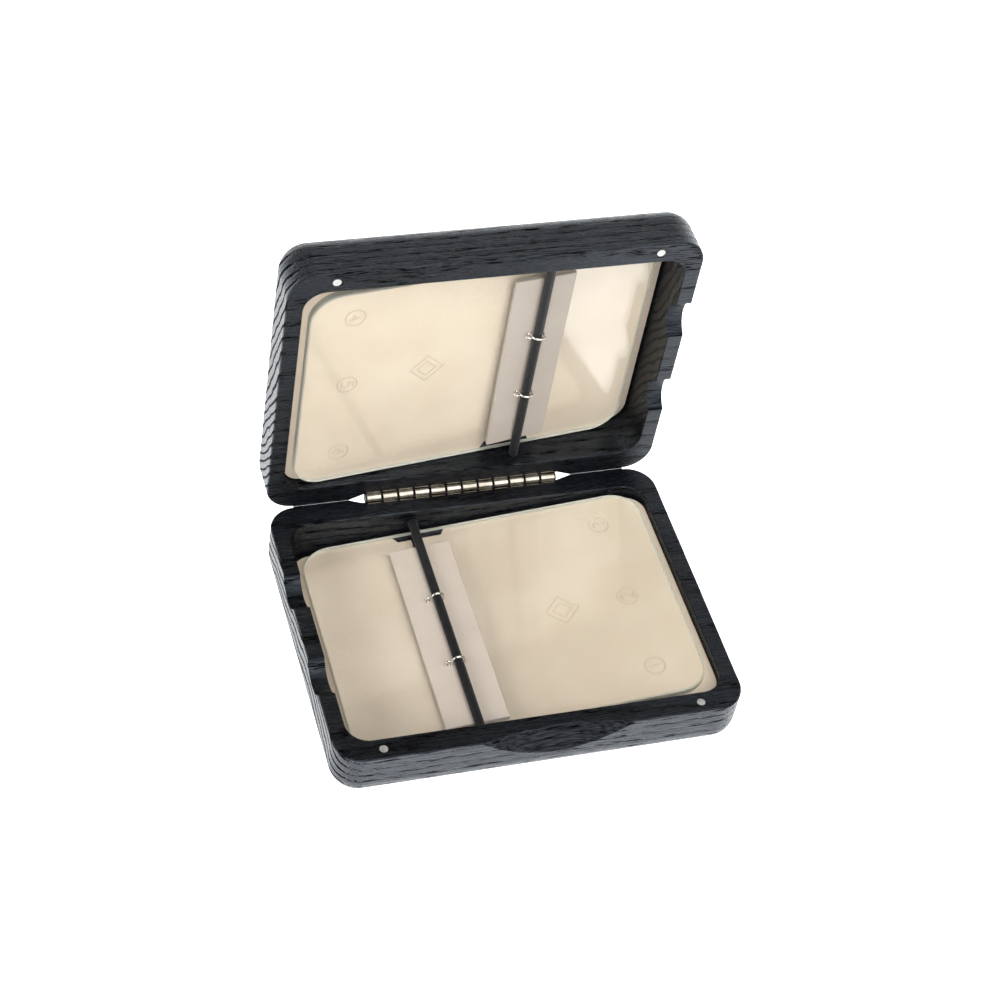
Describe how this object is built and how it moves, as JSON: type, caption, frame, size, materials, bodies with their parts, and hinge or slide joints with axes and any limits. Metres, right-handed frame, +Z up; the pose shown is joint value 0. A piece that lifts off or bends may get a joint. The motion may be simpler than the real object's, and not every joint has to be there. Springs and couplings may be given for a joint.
{
  "type": "reed case",
  "caption": "Black-stained hinged wooden case for woodwind reeds, with sloping glass plates, elastic-held reed strips, closing magnets and a finger scoop.",
  "frame": {"origin": "centre of the lower half's bottom face, on the surface the case stands on", "axes": "+X along the hinge, with the deep notched side of the lower half towards -X; the hinge edge is towards +Y and the finger scoop towards -Y; +Z up; drawn with the lid open at 89 degrees"},
  "size_m": [0.1, 0.0924, 0.0926],
  "materials": {
    "case_wood": "black-stained open-pored ash, satin",
    "lining_leather": "fine-grained cream leather",
    "strip_leather": "smooth pale leather over a stiff core",
    "plate_glass": "clear, ground edges",
    "cord_elastic": "black round elastic",
    "hinge_nickel": "warm nickel plate",
    "magnet_nickel": "bright nickel plate",
    "staple_wire": "bright spring wire"
  },
  "bodies": {
    "base": {"base_shell": "case_wood", "base_lining": "lining_leather", "base_glass_plate": "plate_glass", "base_elastic_cord": "cord_elastic", "base_magnet_left": "magnet_nickel", "base_magnet_right": "magnet_nickel", "hinge_leaf_base": "hinge_nickel", "hinge_pin": "hinge_nickel"},
    "lid": {"lid_shell": "case_wood", "lid_lining": "lining_leather", "lid_glass_plate": "plate_glass", "lid_elastic_cord": "cord_elastic", "lid_magnet_left": "magnet_nickel", "lid_magnet_right": "magnet_nickel", "hinge_leaf_lid": "hinge_nickel"},
    "base_strip": {"base_reed_strip": "strip_leather", "base_staple_back": "staple_wire", "base_staple_front": "staple_wire"},
    "lid_strip": {"lid_reed_strip": "strip_leather", "lid_staple_back": "staple_wire", "lid_staple_front": "staple_wire"}
  },
  "joints": [
    {"name": "lid_hinge", "type": "hinge", "parent": "base", "child": "lid", "pos_m": [0, 0.03903, 0.01443], "axis": [-1, 0, 0], "range_deg": [-89, 91]},
    {"name": "base_strip_lift", "type": "slide", "parent": "base", "child": "base_strip", "axis": [-0.0976, 0, 0.9952], "range_m": [0, 0.003], "stiffness_N_per_m": 150, "springref_m": -0.002, "deforming": ["base_elastic_cord"]},
    {"name": "lid_strip_lift", "type": "slide", "parent": "lid", "child": "lid_strip", "axis": [0.0976, -0.9951, -0.0174], "range_m": [0, 0.003], "stiffness_N_per_m": 150, "springref_m": -0.002, "deforming": ["lid_elastic_cord"]}
  ]
}
